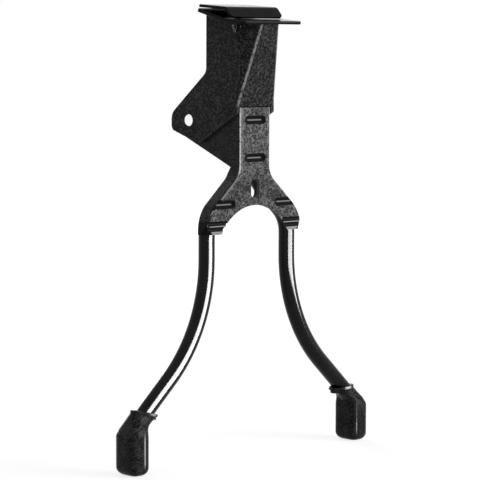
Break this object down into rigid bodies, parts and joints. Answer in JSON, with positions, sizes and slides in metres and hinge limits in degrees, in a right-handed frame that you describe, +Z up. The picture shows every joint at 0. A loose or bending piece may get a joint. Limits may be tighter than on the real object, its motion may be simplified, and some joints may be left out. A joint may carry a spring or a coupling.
{
  "type": "bicycle kickstand",
  "caption": "Splayed-leg bicycle stand whose bracket clamps under the chainstays; a pressed yoke carries rod legs with rubber feet and folds up on a sprung pivot.",
  "frame": {"origin": "clamp seat: top face of the base plate on the clamp bolt's axis", "axes": "+X across the bicycle, +Y to its rear, +Z up, legs down"},
  "size_m": [0.2168, 0.0833, 0.3046],
  "materials": {
    "bracket_paint": "semi-gloss black paint",
    "clamp_paint": "semi-gloss black paint",
    "yoke_paint": "grained dark grey paint",
    "leg_enamel": "gloss black enamel",
    "foot_rubber": "moulded black rubber",
    "zinc": "bright zinc plate",
    "spring_steel": "oiled spring steel"
  },
  "bodies": {
    "bracket": {"bracket": "bracket_paint", "base_plate": "clamp_paint", "stop_pin": "bracket_paint", "pivot_rivet_left": "zinc", "pivot_rivet_right": "zinc"},
    "stand": {"yoke": "yoke_paint", "leg_left": "leg_enamel", "leg_right": "leg_enamel", "foot_left": "foot_rubber", "foot_right": "foot_rubber", "spring_pin": "zinc"},
    "spring": {"toggle_spring": "spring_steel"},
    "clamp": {"clamp_plate": "clamp_paint", "clamp_bolt": "zinc", "washer": "zinc", "lock_washer": "zinc"}
  },
  "joints": [
    {"name": "leg_fold", "type": "hinge", "parent": "bracket", "child": "stand", "pos_m": [0, 0.0299, -0.0727], "axis": [1, 0, 0], "range_deg": [0, 100], "deforming": ["toggle_spring"]},
    {"name": "spring_swing", "type": "hinge", "parent": "bracket", "child": "spring", "pos_m": [0, -0.0108, -0.0642], "axis": [1, 0, 0], "range_deg": [0, 17.4]},
    {"name": "clamp_lift", "type": "slide", "parent": "bracket", "child": "clamp", "axis": [0, -0.0698, 0.9976], "range_m": [0, 0.018]}
  ],
  "couplings": [
    {"joint": "spring_swing", "follows": "leg_fold", "ratio": 0.17355}
  ]
}
